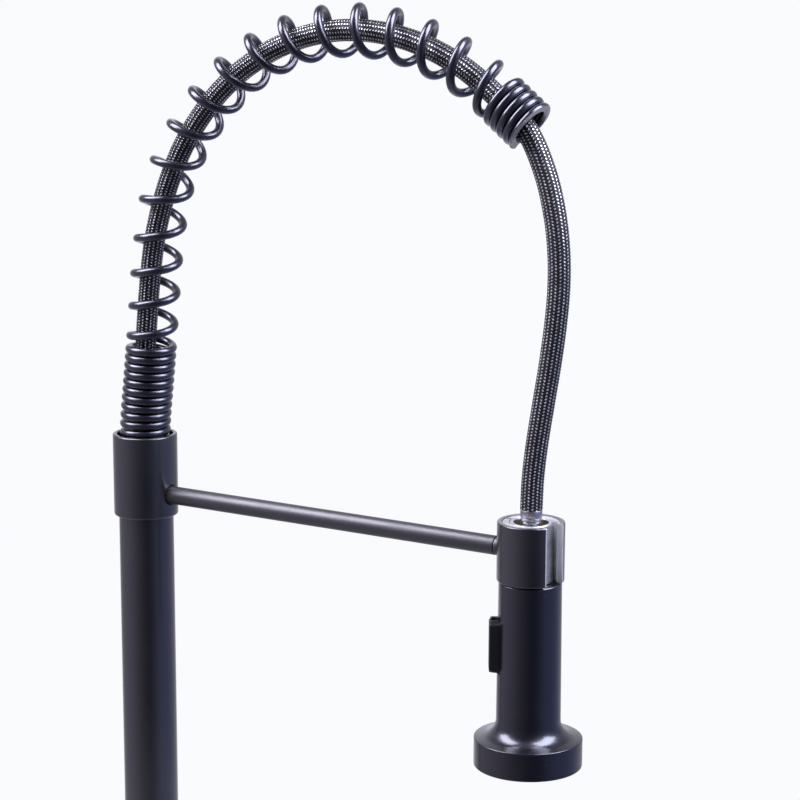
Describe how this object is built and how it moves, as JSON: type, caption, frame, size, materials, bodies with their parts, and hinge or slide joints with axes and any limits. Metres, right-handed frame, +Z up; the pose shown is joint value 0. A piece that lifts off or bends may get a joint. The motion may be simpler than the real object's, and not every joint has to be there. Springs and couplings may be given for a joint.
{
  "type": "pull-down kitchen faucet",
  "caption": "Tall single-lever kitchen faucet with an exposed spring arch, a docking arm and a pull-down spray head with a bell-shaped rim.",
  "frame": {"origin": "centre of the base flange's underside, on the worktop's face", "axes": "+Z up, the spout and the docking arm reach towards -Y (the user), the lever is on +X (the user's right)"},
  "size_m": [0.099, 0.2778, 0.6213],
  "materials": {
    "black_finish": "satin black powder coat",
    "arm_finish": "satin black powder coat on steel rod",
    "spring_finish": "smooth black coated spring wire",
    "braid": "black nylon braid with pale tracer threads over a water hose",
    "bare_metal": "bare cast and machined metal",
    "chrome": "bright crimped metal",
    "brass": "machined brass",
    "steel": "zinc-plated and stainless steel",
    "rubber": "moulded rubber",
    "silicone": "soft silicone nozzles",
    "black_plastic": "satin moulded plastic",
    "pale_plastic": "moulded acetal",
    "screen": "fine moulded grid",
    "indicator": "gloss plastic plug"
  },
  "bodies": {
    "base": {"base_flange": "black_finish", "deck_gasket": "rubber", "faucet_body": "black_finish", "threaded_shank": "brass", "rubber_washer": "rubber", "steel_washer": "steel", "mounting_nut": "brass", "clamp_screws": "steel", "valve_cartridge": "pale_plastic", "cartridge_nut": "brass", "valve_dome": "black_finish", "spigot_o_rings": "rubber", "glide_ring": "pale_plastic"},
    "spout": {"riser_foot": "black_finish", "swivel_screw": "steel", "riser_tube": "black_finish", "spring_collar": "black_finish", "collar_screw": "steel", "hose_adapter": "brass", "adapter_o_ring": "rubber", "adapter_ferrule": "bare_metal", "support_arm": "arm_finish", "arm_end_ring": "black_finish", "dock_ring": "black_finish", "dock_liner": "bare_metal", "dock_screw": "steel", "coil_spring": "spring_finish", "braided_hose": "braid"},
    "hose_end": {"hose_ferrule": "chrome", "hose_stem": "chrome"},
    "spray_head": {"head_shell": "black_finish", "head_core": "pale_plastic", "hose_nut": "bare_metal", "inlet_washer": "rubber", "check_valve": "pale_plastic", "diverter_cartridge": "pale_plastic", "rocker_pin": "steel", "nozzle_mat": "silicone", "spray_plate": "black_plastic", "aerator_housing": "black_plastic", "aerator_screen": "screen"},
    "rocker": {"rocker_button": "black_plastic"},
    "valve_carrier": {"cartridge_carrier": "pale_plastic", "stem_pin": "steel"},
    "lever": {"valve_stem": "steel", "lever_hub": "black_finish", "lever_rod": "arm_finish", "hub_screw": "steel", "indicator_plug": "indicator"}
  },
  "joints": [
    {"name": "spout_swivel", "type": "hinge", "parent": "base", "child": "spout", "pos_m": [0, 0, 0.1], "axis": [0, 0, 1], "continuous": true},
    {"name": "head_pull", "type": "slide", "parent": "spout", "child": "hose_end", "axis": [0, 0, -1], "range_m": [0, 0.2], "stiffness_N_per_m": 30, "springref_m": -0.15, "deforming": ["coil_spring", "braided_hose"]},
    {"name": "head_swivel", "type": "hinge", "parent": "hose_end", "child": "spray_head", "pos_m": [0, -0.225, 0.304], "axis": [0, 0, 1], "continuous": true},
    {"name": "rocker_tilt", "type": "hinge", "parent": "spray_head", "child": "rocker", "pos_m": [-0.00628, -0.21454, 0.27105], "axis": [-0.8572, -0.515, 0], "range_deg": [0, 5]},
    {"name": "lever_turn", "type": "hinge", "parent": "base", "child": "valve_carrier", "pos_m": [0.044, 0, 0.045], "axis": [1, 0, 0], "range_deg": [-45, 45]},
    {"name": "lever_tilt", "type": "hinge", "parent": "valve_carrier", "child": "lever", "pos_m": [0.044, 0, 0.045], "axis": [0, 1, 0], "range_deg": [0, 25]}
  ]
}
